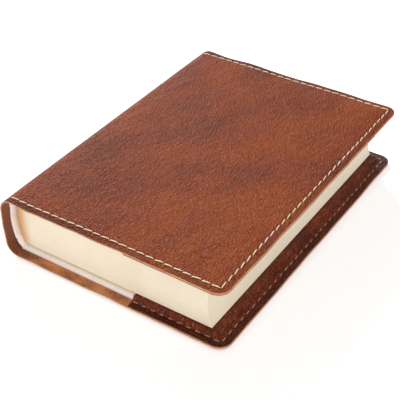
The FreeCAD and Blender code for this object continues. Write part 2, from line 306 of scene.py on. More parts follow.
@dataclass(frozen=True)
class GrainLeather:
    """Grain side of a hide: mottled dye, pebbles drawn out along the hide, worn places.

    Marks have a length and a width in millimetres, and lie at an angle in degrees from X. Relief
    is the height of the pebbles, shade the painted shade in the valleys, gleam the painted
    highlight on the crowns, drift the change of tone for each millimetre, painted as a broad
    gradient of light, and shine the surface's specular level.
    """

    name: str
    dark: Colour
    body: Colour
    light: Colour
    wear_and_highlight: Colour
    valley_shade_and_pressed: Colour
    pebble: float = 1.15
    stretch: float = 1.45
    lay: float = 80.0
    relief: float = 0.9
    shade: float = 0.42
    gleam: float = 0.1
    drift: float = 0.0009
    roughness: float = 0.46
    shine: float = 0.08
    patch: float = 30.0
    wander: float = 2.4
    pore: float = 0.32
    crease: tuple[float, float] = (2.4, 1.2)
    pull: tuple[float, float] = (14.0, 4.0)
    blotch: tuple[float, float] = (12.0, 8.0)
    margin: float = 3.9
    margin_fade: tuple[float, float] = (30.0, 100.0)
    margin_shade: float = 0.6
    rubbed_edge: float = 0.6
    rubbed_shade: float = 0.5

    def material(self) -> bpy.types.Material:
        """Build the material.

        Returns:
            The finished material.
        """
        shader = Shader(self.name)
        hide = shader.laid(HIDE)
        across, along, edge = shader.split(hide)
        flat = shader.scaled(hide, (1.0, 1.0, 0.0))

        wander = shader.cloud(shader.drawn(flat, self.wander, self.wander), 2.0, 0.5, "Color")
        drifting = shader.shifted(flat, wander, self.wander * 2 / 3)
        long, wide, lay = self.pebble * self.stretch, self.pebble, self.lay
        pebbles = shader.cells(shader.drawn(drifting, long, wide, lay))
        small = shader.cells(shader.drawn(drifting, long / 2, wide / 2, lay + 25))
        crease = shader.cloud(shader.drawn(drifting, *self.crease, lay + 20), 2.0, 0.5)
        pull = shader.cloud(shader.drawn(drifting, *self.pull, lay - 8), 3.0, 0.5)
        pores = shader.cloud(shader.drawn(flat, self.pore, self.pore), 3.0, 0.6)

        patches = shader.cloud(shader.drawn(flat, self.patch * 1.8, self.patch, lay - 15), 3.0, 0.5)
        blotch = shader.cloud(shader.drawn(flat, *self.blotch, lay), 4.0, 0.6)
        # The drift terms paint a broad gradient of light across the hide.
        tone = patches * 0.75 + blotch * 0.25 + across * self.drift - along * (self.drift * 0.7)
        colour = shader.mix(tone.ease(0.34, 0.56), self.dark, self.body)
        colour = shader.mix(tone.ease(0.50, 0.72), colour, self.light)

        crown = pebbles.ease(0.0, 0.5)
        ridge = crease.ease(0.32, 0.68)
        swell = crown * 0.5 + ridge * 0.5
        pressed = 1.0 - edge.ease(self.margin - 1.2, self.margin)
        # Painted shade: the valleys between pebbles and creases are darkened towards the valley shade
        # colour.
        colour = shader.mix((1.0 - swell) * self.shade, colour, self.valley_shade_and_pressed)
        # Painted highlight: the crowns of the pebbles are paled towards the wear and highlight colour.
        colour = shader.mix(swell.ease(0.55, 0.95) * self.gleam, colour, self.wear_and_highlight)
        near_spine = 1.0 - across.ease(*self.margin_fade)
        # The pressed margin near the spine is darkened with the same colour.
        colour = shader.mix(pressed * near_spine * self.margin_shade, colour, self.valley_shade_and_pressed)
        rubbed = (1.0 - edge.ease(0.0, self.rubbed_edge)) * pores.ease(0.35, 0.6)
        colour = shader.mix(rubbed * self.rubbed_shade, colour, self.wear_and_highlight)

        height = crown * 0.45 + ridge * 0.4 + small.ease(0.0, 0.5) * 0.1 + pores * 0.05
        fold = shader.bump(pull, self.relief * 1.6)
        normal = shader.bump(height * (1.0 + pressed * 0.8), self.relief, fold)
        gloss = self.roughness - (crown - 0.5) * 0.12 + (tone - 0.5) * 0.2
        return shader.close({
            "Base Color": colour, "Roughness": gloss, "Normal": normal,
            "Specular IOR Level": self.shine,
        })


@dataclass(frozen=True)
class FleshLeather:
    """Flesh side or cut edge of a hide: a short nap of tangled fibres, with painted shade at the spine.

    A fibre has a width in millimetres, and the patches a count for each millimetre.
    """

    name: str
    dark: Colour
    body: Colour
    fibre: float = 0.55
    sheen: float = 0.25
    patches: tuple[float, float, float] = (0.11, 0.16, 0.1)
    nap_relief: float = 0.22
    spine_shade: float = 0.0
    spine_fade: tuple[float, float] = (12.0, 36.0)

    def material(self) -> bpy.types.Material:
        """Build the material.

        Returns:
            The finished material.
        """
        shader = Shader(self.name)
        hide = shader.laid(HIDE)
        nap = shader.cloud(shader.scaled(hide, (1 / self.fibre,) * 3), 5.0, 0.7)
        patch = shader.cloud(shader.scaled(hide, self.patches), 4.0, 0.6)
        across, _, _ = shader.split(hide)
        # Painted shade: the flesh side darkens towards the spine, where it lies in shade inside the
        # fold.
        flesh_spine_shade = 1.0 - across.math("ABSOLUTE").ease(*self.spine_fade)
        tone = nap * 0.6 + patch * 0.4 - flesh_spine_shade * self.spine_shade
        colour = shader.mix(tone.ease(0.37, 0.60), self.dark, self.body)
        return shader.close({
            "Base Color": colour, "Roughness": 0.95, "Normal": shader.bump(nap, self.nap_relief),
            "Specular IOR Level": 0.2, "Sheen Weight": self.sheen, "Sheen Roughness": 0.5,
        })


@dataclass(frozen=True)
class WaxedThread:
    """Two-ply waxed thread: plies that wind along the stitch, with painted shade in the hollows between
    them.
    """

    name: str
    body: Colour
    hollow_shade_and_tint: Colour
    turns: float = 4.5
    fuzz: tuple[float, float, float] = (6.0, 6.0, 6.0)
    relief: float = 0.16

    def material(self) -> bpy.types.Material:
        """Build the material.

        Returns:
            The finished material.
        """
        shader = Shader(self.name)
        along, around, tint = shader.split(shader.laid(LAID))
        angle = along * (2 * math.pi * self.turns) + around * (4 * math.pi)
        ply = angle.math("SINE") * 0.5 + 0.5
        fuzz = shader.cloud(shader.scaled(shader.resting(), self.fuzz), 3.0, 0.6)
        # Painted shade in the hollows between the plies.
        colour = shader.mix(ply.ease(0.0, 0.55), self.hollow_shade_and_tint, self.body)
        # Some stitches are darkened at random towards the same colour.
        colour = shader.mix(tint * 0.35, colour, self.hollow_shade_and_tint)
        height = ply * 0.8 + fuzz * 0.2
        return shader.close({
            "Base Color": colour, "Roughness": 0.55 + fuzz * 0.2,
            "Normal": shader.bump(height, self.relief), "Specular IOR Level": 0.4,
        })


@dataclass(frozen=True)
class BookPaper:
    """Book paper: fine lines of leaves on the trimmed edges, with painted warm shade near the spine.

    The leaf is the spacing of the lines. Leaves, bundles, drift and fibres have a count of marks
    for each millimetre, and the reliefs a height.
    """

    name: str
    body: Colour
    line: Colour
    spine_shade_tan: Colour
    spine_x: float
    spine_shade_width: float = 9.0
    spine_shade_power: float = 1.3
    leaf: float = 0.11
    bundles: tuple[float, float, float] = (0.02, 0.02, 0.9)
    drift: tuple[float, float, float] = (0.05, 0.05, 0.03)
    fibres: tuple[float, float, float] = (4.0, 4.0, 4.0)
    leaf_relief: float = 0.10
    fibre_relief: float = 0.012

    def material(self) -> bpy.types.Material:
        """Build the material.

        Returns:
            The finished material.
        """
        shader = Shader(self.name)
        place = shader.laid(LAID)
        across, _, _ = shader.split(place)
        leaves = shader.cloud(shader.scaled(place, (0.035, 0.035, 1 / self.leaf)), 4.0, 0.75)
        bundle = shader.cloud(shader.scaled(place, self.bundles), 3.0, 0.6)
        drift = shader.cloud(shader.scaled(place, self.drift), 3.0, 0.55)
        fibre = shader.cloud(shader.scaled(place, self.fibres), 3.0, 0.6)
        lines = leaves * 0.6 + bundle * 0.4
        colour = shader.mix((1.0 - lines.ease(0.36, 0.62)) * 0.22, self.body, self.line)
        colour = shader.mix(drift.ease(0.45, 0.75) * 0.3, colour, self.line)
        # Painted shade: a warm tan near the spine, fading towards the fore-edge.
        depth = (across - self.spine_x + (drift - 0.5) * 5.0) / self.spine_shade_width
        paper_spine_shade = (1.0 - depth.ease(0.0, 1.0)) ** self.spine_shade_power
        colour = shader.mix(paper_spine_shade, colour, self.spine_shade_tan)
        normal = shader.bump(leaves, self.leaf_relief, shader.bump(fibre, self.fibre_relief))
        return shader.close({
            "Base Color": colour, "Roughness": 0.78 + (leaves - 0.5) * 0.2,
            "Normal": normal, "Specular IOR Level": 0.25,
        })


@dataclass(frozen=True)
class CoveredCard:
    """Card covered with plain paper: cloudy pulp and a faint tooth of a size and a rise."""

    name: str
    body: Colour
    shade: Colour
    tooth: float = 0.9
    rise: float = 0.03
    roughness: float = 0.7
    clouds: tuple[float, float, float] = (0.06, 0.06, 0.06)

    def material(self) -> bpy.types.Material:
        """Build the material.

        Returns:
            The finished material.
        """
        shader = Shader(self.name)
        place = shader.resting()
        pulp = shader.cloud(shader.scaled(place, (1 / self.tooth,) * 3), 5.0, 0.65)
        cloudy = shader.cloud(shader.scaled(place, self.clouds), 4.0, 0.55)
        rubbed = (pulp * 0.5 + cloudy * 0.5).ease(0.4, 0.7)
        colour = shader.mix(rubbed, self.body, self.shade)
        return shader.close({
            "Base Color": colour, "Roughness": self.roughness + (pulp - 0.5) * 0.2,
            "Normal": shader.bump(pulp, self.rise), "Specular IOR Level": 0.3,
        })


@dataclass(frozen=True)
class PlainWeave:
    """Plain weave seen close to: threads over and under, as in linen tape or mull."""

    name: str
    body: Colour
    gap: Colour
    thread: float = 0.5
    slubs: tuple[float, float, float] = (0.4, 3.0, 3.0)
    relief: float = 0.08

    def material(self) -> bpy.types.Material:
        """Build the material.

        Returns:
            The finished material.
        """
        shader = Shader(self.name)
        _, along, up = shader.split(shader.resting())
        turn = math.pi / self.thread
        weave = (along * turn).math("SINE") * (up * turn).math("SINE") * 0.5 + 0.5
        slub = shader.cloud(shader.scaled(shader.resting(), self.slubs), 3.0, 0.6)
        colour = shader.mix((weave * 0.7 + slub * 0.3).ease(0.2, 0.7), self.gap, self.body)
        return shader.close({
            "Base Color": colour, "Roughness": 0.85 + (slub - 0.5) * 0.2,
            "Normal": shader.bump(weave, self.relief), "Specular IOR Level": 0.2,
        })


# ---------------------------------------------------------------- mesh work


@dataclass(frozen=True)
class Ruler:
    """Cutting marks along one way of a sheet, closer together where the sheet has to bend."""

    spans: tuple[tuple[float, float, float], ...]

    def marks(self) -> list[float]:
        """Work out the marks of every span of start, end and spacing, each once.

        Returns:
            The marks in order.
        """
        places = [self.spans[0][0]]
        for start, end, spacing in self.spans:
            count = max(1, round((end - start) / spacing))
            places += [start + (end - start) * step / count for step in range(1, count + 1)]
        return places


def cut_sheet(across: Sequence[float], along: Sequence[float]) -> bmesh.types.BMesh:
    """Make a flat sheet in the XY plane with its grid lines at the given marks.

    Args:
        across: Marks along X.
        along: Marks along Y.

    Returns:
        The sheet, facing up.
    """
    columns, rows = len(across) - 1, len(along) - 1
    mesh = bmesh.new()
    bmesh.ops.create_grid(mesh, x_segments=columns, y_segments=rows, size=1.0)
    for vertex in mesh.verts:
        column = round((vertex.co.x + 1) / 2 * columns)
        row = round((vertex.co.y + 1) / 2 * rows)
        vertex.co = (across[column], along[row], 0.0)
    return mesh


def round_corner(
    mesh: bmesh.types.BMesh, corner: Vector, inward: Vector, radius: float, cuts: int = 7
) -> None:
    """Trim one square corner of a flat sheet to an arc.

    Args:
        mesh: The flat sheet.
        corner: The corner's point.
        inward: Signs of the way into the sheet along X and Y.
        radius: Radius of the arc.
        cuts: Straight cuts that make the arc.
    """
    centre = corner + inward * radius
    near = radius * 1.6
    for cut in range(cuts):
        angle = (cut + 0.5) / cuts * math.pi / 2
        away = Vector((-inward.x * math.cos(angle), -inward.y * math.sin(angle), 0.0))
        faces = [face for face in mesh.faces if (face.calc_center_median() - corner).length < near]
        edges = dict.fromkeys(edge for face in faces for edge in face.edges)
        verts = dict.fromkeys(vertex for face in faces for vertex in face.verts)
        bmesh.ops.bisect_plane(
            mesh, geom=[*verts, *edges, *faces], plane_co=centre + away * radius,
            plane_no=away, clear_outer=True,
        )


def cut_leather(
    across: Ruler, half: float, band: float, steps: tuple[float, float], radius: float
) -> bmesh.types.BMesh:
    """Cut a flat piece of leather, marked finely along its edges, and round its free corners.

    Args:
        across: Marks from the spine to the fore-edge.
        half: Half its height.
        band: Width of the finely marked band at its tail and head.
        steps: Spacing of the marks in the bands, and between them.
        radius: Radius of the two corners at the fore-edge.

    Returns:
        The flat piece, facing up.
    """
    fine, coarse = steps
    along = Ruler((
        (-half, band - half, fine), (band - half, half - band, coarse), (half - band, half, fine)))
    mesh = cut_sheet(across.marks(), along.marks())
    for sign in (-1, 1):
        corner = Vector((across.spans[-1][1], sign * half, 0.0))
        round_corner(mesh, corner, Vector((-1.0, -sign, 0.0)), radius)
    bmesh.ops.remove_doubles(mesh, verts=mesh.verts, dist=SLIVER)
    return mesh


def place_sheet(
    mesh: bmesh.types.BMesh, layer_name: str, place: Placing, stored: Placing
) -> None:
    """Move a flat sheet's vertices where they belong and store what its finish reads.

    Args:
        mesh: The flat sheet.
        layer_name: Name of the stored attribute.
        place: Turns a flat place into a place in the book.
        stored: Turns a flat place into the stored vector.
    """
    layer = mesh.verts.layers.float_vector.new(layer_name)
    for vertex in mesh.verts:
        across, along = vertex.co.x, vertex.co.y
        vertex[layer] = stored(across, along)
        vertex.co = place(across, along)


def add_piece(
    mesh: bmesh.types.BMesh, name: str, materials: Sequence[bpy.types.Material],
    smooth: bool = True,
) -> bpy.types.Object:
    """Turn a mesh in millimetres into a piece of the book, in metres.

    Args:
        mesh: The finished mesh, which is freed.
        name: Name of the piece.
        materials: Materials in the order of the faces' material numbers.
        smooth: Whether the faces are shaded smoothly.

    Returns:
        The new object, at the origin.
    """
    bmesh.ops.scale(mesh, vec=(MM, MM, MM), verts=mesh.verts)
    for face in mesh.faces:
        face.smooth = smooth
    data = bpy.data.meshes.new(name)
    mesh.to_mesh(data)
    mesh.free()
    for material in materials:
        data.materials.append(material)
    piece = bpy.data.objects.new(name, data)
    bpy.context.scene.collection.objects.link(piece)
    return piece


def round_edges(
    mesh: bmesh.types.BMesh, edges: Sequence[bmesh.types.BMEdge], width: float, segments: int
) -> None:
    """Round edges of a closed mesh to a width."""
    bmesh.ops.bevel(
        mesh, geom=edges, offset=width, segments=segments, profile=0.5, affect="EDGES",
        material=-1)


def thicken(
    piece: bpy.types.Object, thickness: float, offset: float = -1.0, arris: float = 0.0
) -> bpy.types.Modifier:
    """Give a sheet its thickness with its own materials on the far side and the cut edge.

    Args:
        piece: The sheet.
        thickness: Thickness in millimetres.
        offset: -1 to thicken away from the face side, 0 to thicken both ways.
        arris: Width of the rounded arris of the cut edge in millimetres, or 0 for none.

    Returns:
        The modifier that gives the thickness.
    """
    wall = piece.modifiers.new("thickness", "SOLIDIFY")
    wall.thickness = thickness * MM
    wall.offset = offset
    wall.use_even_offset = False
    wall.material_offset = 1
    wall.material_offset_rim = 2
    if arris > 0:
        rounding = piece.modifiers.new("arris", "BEVEL")
        rounding.width = arris * MM
        rounding.segments = 2
        rounding.limit_method = "ANGLE"
        rounding.angle_limit = ARRIS_ANGLE
        rounding.use_clamp_overlap = False
    return wall


def report(piece: bpy.types.Object) -> bpy.types.Object:
    """Log a finished piece with its triangle count.

    Args:
        piece: The piece, with its modifiers.

    Returns:
        The same piece.
    """
    built = piece.evaluated_get(bpy.context.evaluated_depsgraph_get())
    faces = built.to_mesh().polygons
    LOG.info("%s: %d triangles", piece.name, sum(len(face.vertices) - 2 for face in faces))
    built.to_mesh_clear()
    return piece


def settle(
    piece: bpy.types.Object, nodes: Sequence[str], bodies: Sequence[str],
    bend: tuple[Vector, Vector] | None = None,
) -> bpy.types.Object:
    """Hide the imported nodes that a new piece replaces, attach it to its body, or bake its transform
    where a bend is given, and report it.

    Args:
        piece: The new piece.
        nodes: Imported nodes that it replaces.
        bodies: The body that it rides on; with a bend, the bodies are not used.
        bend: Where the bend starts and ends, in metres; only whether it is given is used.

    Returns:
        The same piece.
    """
    if nodes:
        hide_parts(*nodes)
    if bend:
        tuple(bend[0])
        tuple(bend[1])
        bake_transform(piece)
    else:
        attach(piece, *bodies)
    return report(piece)


# ---------------------------------------------------------------- the jacket


@dataclass(frozen=True)
class SeamRun:
    """A straight run of stitches between two points of a cover's outline."""

    start: Vector
    end: Vector
    pitch: float = 4.8
    overrun: float = 0.5

    @property
    def length(self) -> float:
        """Length of the run."""
        return (self.end - self.start).length

    @property
    def count(self) -> int:
        """Number of stitches in the run."""
        return max(1, round(self.length / self.pitch))

    @property
    def way(self) -> Vector:
        """Unit vector along the run."""
        return (self.end - self.start).normalized()

    @property
    def step(self) -> float:
        """Length from one stitch to the next."""
        return self.length / self.count

    def offsets(self, across: float, along: float) -> tuple[float, float, bool]:
        """Where a point lies beside the run.

        Args:
            across: The point's X.
            along: The point's Y.

        Returns:
            Distance to the run's line, distance to the nearest needle hole along it, and whether
            the point lies beside the run at all.
        """
        way = self.way
        reach = Vector((across, along)) - self.start
        travelled = reach.dot(way)
        aside = abs(reach.x * way.y - reach.y * way.x)
        hole = abs((travelled / self.step + 0.5) % 1.0 - 0.5) * self.step
        return aside, hole, -self.overrun <= travelled <= self.length + self.overrun


@dataclass
class JacketHalf:
    """Leather of one cover: half the spine, the fold and the panel with its stitched margin.

    A place on the leather is a length travelled across it from mid-spine, and a Y. The face bows
    at the spine, waves and rests over the board, and droops towards its free edge. The seam
    presses a groove with needle holes and puckers. The edge is skived to a share of the
    thickness. The halves lap at mid-spine. The bend's lead is how far its start stands out of
    the fold, and its end keeps clear of the board by the board gap.
    """

    side: Side
    corner_radius: float = 6.0
    front_fold: float = 7.5
    back_fold: float = 6.5
    bow: float = 0.4
    seam_margin: float = 3.6
    seam_start: float = 4.8
    wave: float = 0.42
    slow_wave: tuple[float, float] = (34.0, 30.0)
    quick_wave: tuple[float, float] = (12.0, 13.0)
    rest: float = 0.7
    rest_band: tuple[float, float] = (2.0, 13.0)
    droop: float = 0.5
    flutter: float = 0.45
    front_flutter: tuple[float, float] = (15.0, 15.0)
    back_flutter: tuple[float, float] = (16.0, 16.0)
    spine_calm: float = 0.15
    fold_band: tuple[float, float] = (-2.0, 10.0)
    groove: float = 0.26
    groove_width: float = 0.55
    needle: float = 0.18
    needle_size: tuple[float, float] = (0.7, 1.1)
    pucker: float = 0.08
    pucker_band: tuple[float, float] = (1.5, 0.8)
    seam_reach: float = 3.2
    margin_width: float = 4.6
    skived: float = 0.55
    lap: float = 0.3
    bend_lead: float = -0.8
    board_gap: float = 1.7
    arris: float = 0.14
    fine_band: float = 3.0
    spine_step: float = 1.2
    fold_step: float = 0.55
    fine_step: float = 0.42
    coarse_step: float = 1.35

    def __post_init__(self) -> None:
        """Read the leather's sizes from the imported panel, spine and board."""
        low, high = packed_box(f"jacket_{self.side.value}_panel")
        board_low, board_high = packed_box(f"{self.side.value}_board")
        spine_low, spine_high = packed_box("jacket_spine")
        self.fold_x, self.right, self.half_height = low.x, high.x, high.y
        self.mid_spine = (spine_low.z + spine_high.z) / 2
        up = self.side.outward
        if self.side is Side.FRONT:
            self.radius, self.face_z = self.front_fold, high.z
            self.thickness = high.z - board_high.z
        else:
            self.radius, self.face_z = self.back_fold, low.z
            self.thickness = board_low.z - low.z
        self.fold_z = self.face_z - up * self.radius
        self.spine_length = abs(self.fold_z - self.mid_spine)
        self.fold_length = self.radius * math.pi / 2
        self.panel_start = self.spine_length + self.fold_length
        self.length = self.panel_start + self.right - self.fold_x - self.radius
        self.board_left = board_low.x
        bend_end = board_low.x - self.board_gap
        reach = self.fold_x + self.radius - bend_end
        crest = math.sqrt(self.radius ** 2 - reach ** 2)
        self.bend = (
            Vector((self.fold_x, 0.0, self.fold_z - up * self.bend_lead)) * MM,
            Vector((bend_end, 0.0, self.fold_z + up * crest)) * MM,
        )

    def runs(self) -> list[SeamRun]:
        """Lay out the cover's outer seam.

        Returns:
            Its runs along the tail, the fore-edge and the head.
        """
        start = self.fold_x + self.seam_start
        side_x, end_y = self.right - self.seam_margin, self.half_height - self.seam_margin
        corners = [Vector(point) for point in (
            (start, -end_y), (side_x, -end_y), (side_x, end_y), (start, end_y))]
        return [SeamRun(first, last) for first, last in zip(corners, corners[1:])]

    def edge_distance(self, travelled: float, along: float) -> float:
        """Distance to the nearest cut edge, round the two free corners too.

        Args:
            travelled: Length along the leather from mid-spine.
            along: Y of the place.

        Returns:
            The distance.
        """
        to_side, to_end = self.length - travelled, self.half_height - abs(along)
        radius = self.corner_radius
        if to_side < radius and to_end < radius:
            return radius - math.hypot(radius - to_side, radius - to_end)
        return min(to_side, to_end)

    def path(self, travelled: float) -> tuple[Vector, Vector]:
        """Follow the leather's outer face from mid-spine to the fore-edge.

        Args:
            travelled: Length along the leather from mid-spine.

        Returns:
            The point on the face, with Y 0, and the outward normal there.
        """
        up = self.side.outward
        if travelled <= self.spine_length:
            bow = self.bow * (0.5 + 0.5 * math.cos(math.pi * travelled / self.spine_length))
            point = Vector((self.fold_x - bow, 0.0, self.mid_spine + up * travelled))
            return point, Vector((-1.0, 0.0, 0.0))
        if travelled <= self.panel_start:
            angle = (travelled - self.spine_length) / self.radius
            normal = Vector((-math.cos(angle), 0.0, up * math.sin(angle)))
            centre = Vector((self.fold_x + self.radius, 0.0, self.fold_z))
            return centre + normal * self.radius, normal
        run = self.fold_x + self.radius + travelled - self.panel_start
        return Vector((run, 0.0, self.face_z)), Vector((0.0, 0.0, up))

    def lift(self, travelled: float, along: float) -> float:
        """Outward swell of the leather at a place, without the seam's marks.

        Args:
            travelled: Length along the leather from mid-spine.
            along: Y of the place.

        Returns:
            The swell, below 0 where the leather droops.
        """
        edge = self.edge_distance(travelled, along)
        free = 1 - ease(0.5, self.margin_width, edge)
        if self.side is Side.BACK:
            flutter = 0.35 + 0.65 * ripple(travelled, along, self.back_flutter, 5.0)
            return -free * ease(self.spine_length, self.panel_start, travelled) * max(0.0, flutter)
        slow = ripple(travelled, along, self.slow_wave, 3.0)
        quick = ripple(travelled, along, self.quick_wave, 9.0)
        resting = self.rest * ease(*self.rest_band, edge)
        over_board = self.wave * slow + 0.25 * self.wave * quick + resting
        flutter = self.flutter * ripple(travelled, along, self.front_flutter, 5.0)
        past_fold = ease(*self.fold_band, travelled - self.panel_start)
        past_middle = ease(0.0, self.spine_length, travelled)
        calm = self.spine_calm * past_middle + (1 - self.spine_calm) * past_fold
        return over_board * calm - free * past_fold * (self.droop + flutter)

    def thickness_share(self, travelled: float, along: float) -> float:
        """Share of the full thickness that is left, thinner where the edge is skived."""
        edge = self.edge_distance(travelled, along)
        return self.skived + (1 - self.skived) * ease(0.3, self.margin_width, edge)

    def seam_mark(self, across: float, along: float) -> float:
        """Depth of the groove, needle holes and puckers that the seam makes.

        Args:
            across: X of the place.
            along: Y of the place.

        Returns:
            The depth that the nearest run gives, below 0 on a pucker's crest.
        """
        depth = [0.0]
        for run in self.runs():
            aside, hole, beside = run.offsets(across, along)
            if beside and aside < self.seam_reach:
                beside_groove = hump(aside - self.pucker_band[0], self.pucker_band[1])
                pucker = math.cos(2 * math.pi * hole / run.step) * beside_groove
                needle = hump(hole, self.needle_size[0]) * hump(aside, self.needle_size[1])
                groove = self.groove * hump(aside, self.groove_width)
                depth.append(groove + self.needle * needle - self.pucker * pucker)
        return max(depth, key=abs)

    def surface(self, travelled: float, along: float) -> Vector:
        """Find a point of the finished outer face.

        Args:
            travelled: Length along the leather from mid-spine.
            along: Y of the place.

        Returns:
            The point.
        """
        point, normal = self.path(travelled)
        mark = self.seam_mark(point.x, along) if travelled > self.panel_start else 0.0
        point += normal * (self.lift(travelled, along) - mark)
        point.y = along
        return point

    def travelled(self, across: float) -> float:
        """Length along the leather from mid-spine to a point of the panel."""
        return across - self.fold_x - self.radius + self.panel_start

    def height_over(self, across: float, along: float) -> float:
        """Level of the outer face above or below a point of the panel, without the seam."""
        return self.face_z + self.side.outward * self.lift(self.travelled(across), along)

    def on_hide(self, travelled: float, along: float) -> Vector:
        """Flat place on the hide, with the distance to its edge."""
        edge = self.edge_distance(travelled, along)
        return Vector((self.side.outward * travelled, along, edge))

    def build(self, finish: Sequence[bpy.types.Material]) -> bpy.types.Object:
        """Cut, roll and thicken the leather.

        Args:
            finish: Leather of the face, of the flesh side and of the cut edge.

        Returns:
            The finished leather.
        """
        band = self.seam_margin + self.fine_band
        across = Ruler((
            (-self.lap, self.spine_length, self.spine_step),
            (self.spine_length, self.panel_start, self.fold_step),
            (self.panel_start, self.length - band, self.coarse_step),
            (self.length - band, self.length, self.fine_step),
        ))
        steps = (self.fine_step, self.coarse_step)
        mesh = cut_leather(across, self.half_height, band, steps, self.corner_radius)
        skive = mesh.verts.layers.deform.verify()
        for vertex in mesh.verts:
            vertex[skive][0] = self.thickness_share(vertex.co.x, vertex.co.y)
        place_sheet(mesh, HIDE, self.surface, self.on_hide)
        if self.side is Side.BACK:
            bmesh.ops.reverse_faces(mesh, faces=mesh.faces)
        piece = add_piece(mesh, f"{self.side.value}_jacket_leather", finish)
        piece.vertex_groups.new(name="skive")
        thicken(piece, self.thickness, arris=self.arris).vertex_group = "skive"
        nodes = (f"jacket_{self.side.value}_panel", "jacket_spine")
        return settle(piece, nodes, ("book_block", self.side.body), self.bend)


@dataclass
class PocketFlap:
    """Thin leather flap sewn inside the jacket: a flat margin and a pocket over the board.

    The flap steps down past the board's edge between the step's start and end. It wrinkles on
    that step and gathers more towards the pocket's mouth.
    """

    jacket: JacketHalf
    thickness: float = 0.6
    corner: float = 1.6
    arris: float = 0.1
    wrinkle: float = 0.42
    gather_size: tuple[float, float] = (1.7, 5.0)
    slack: float = 0.08
    slack_size: tuple[float, float] = (9.0, 11.0)
    loosening: float = 1.3
    mouth_band: tuple[float, float] = (4.0, 26.0)
    step_start: float = -0.5
    step_end: float = 1.15
    seam_reach: float = 2.5
    groove: float = 0.18
    groove_width: float = 0.5
    needle: float = 0.1
    needle_size: tuple[float, float] = (0.6, 0.9)
    fine_band: float = 7.0
    fine_step: float = 0.42
    across_step: float = 1.25
    along_step: float = 1.3

    def __post_init__(self) -> None:
        """Read the flap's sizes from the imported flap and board."""
        self.side = self.jacket.side
        low, high = packed_box(f"{self.side.value}_pocket_flap")
        _, board_high = packed_box(f"{self.side.value}_board")
        self.left, self.right, self.half_height = low.x, high.x, high.y
        self.board_right, self.board_half = board_high.x, board_high.y
        self.rise = high.z - low.z
        self.margin_rise = self.thickness + 0.02

    def beyond_board(self, across: float, along: float) -> float:
        """How far a place is from the board's edge, round its corners.

        Args:
            across: X of the place.
            along: Y of the place.

        Returns:
            Distance past the edge, below 0 over the board.
        """
        over_x = across - self.board_right + self.corner
        over_y = abs(along) - self.board_half + self.corner
        outside = math.hypot(max(over_x, 0.0), max(over_y, 0.0))
        return outside + min(max(over_x, over_y), 0.0) - self.corner

    def puff(self, across: float, along: float, past: float, down: float) -> float:
        """Wrinkles of the step and slack of the pocket.

        Args:
            across: X of the place.
            along: Y of the place.
            past: Distance past the board's edge.
            down: Share of the step, 0 over the board and 1 on the margin.

        Returns:
            The swell towards the leaves.
        """
        over_end = abs(along) - self.board_half > across - self.board_right
        run = across if over_end else along
        gather = ripple(run, past, self.gather_size, 1.0 + self.side.outward)
        slack = ripple(across, along, self.slack_size, 4.0)
        near_mouth = 1 - ease(*self.mouth_band, across - self.left)
        gather *= 1 + self.loosening * near_mouth
        steep = 4 * down * (1 - down)
        return self.wrinkle * steep * gather + self.slack * (1 - down) * (slack + gather)

    def place(self, across: float, along: float) -> Vector:
        """Find a point of the flap's face, which looks at the leaves.

        Args:
            across: X of the place.
            along: Y of the place.

        Returns:
            The point.
        """
        past = self.beyond_board(across, along)
        down = ease(self.step_start, self.step_end, past)
        jacket, up = self.jacket, self.side.outward
        leather = jacket.face_z - up * jacket.thickness
        skived = jacket.thickness * jacket.thickness_share(jacket.travelled(across), along)
        margin = jacket.height_over(across, along) - up * skived
        level = leather + (margin - leather) * down
        rise = self.rise + (self.margin_rise - self.rise) * down
        rise += self.puff(across, along, past, down)
        sewn = [0.0]
        for seam in jacket.runs():
            aside, hole, beside = seam.offsets(across, along)
            if beside and aside < self.seam_reach:
                needle = hump(hole, self.needle_size[0]) * hump(aside, self.needle_size[1])
                sewn.append(self.groove * hump(aside, self.groove_width) + self.needle * needle)
        return Vector((across, along, level - up * (rise - max(sewn))))

    def on_hide(self, across: float, along: float) -> Vector:
        """Flat place on the hide, with the distance to its sewn edge."""
        edge = self.jacket.edge_distance(self.jacket.travelled(across), along)
        return Vector((across, along, edge))

    def build(self, finish: Sequence[bpy.types.Material]) -> bpy.types.Object:
        """Cut the flap, drape it over the board's edge and thicken it.

        Args:
            finish: Leather of the face, of the flesh side and of the cut edge.

        Returns:
            The finished flap.
        """
        middle = self.right - self.fine_band
        across = Ruler((
            (self.left, middle, self.across_step), (middle, self.right, self.fine_step)))
        steps = (self.fine_step, self.along_step)
        mesh = cut_leather(
            across, self.half_height, self.fine_band, steps, self.jacket.corner_radius)
        place_sheet(mesh, HIDE, self.place, self.on_hide)
        if self.side is Side.FRONT:
            bmesh.ops.reverse_faces(mesh, faces=mesh.faces)
        piece = add_piece(mesh, f"{self.side.value}_flap_leather", finish)
        thicken(piece, self.thickness, arris=self.arris)
        node = f"{self.side.value}_pocket_flap"
        return settle(piece, (node,), (self.side.body,))


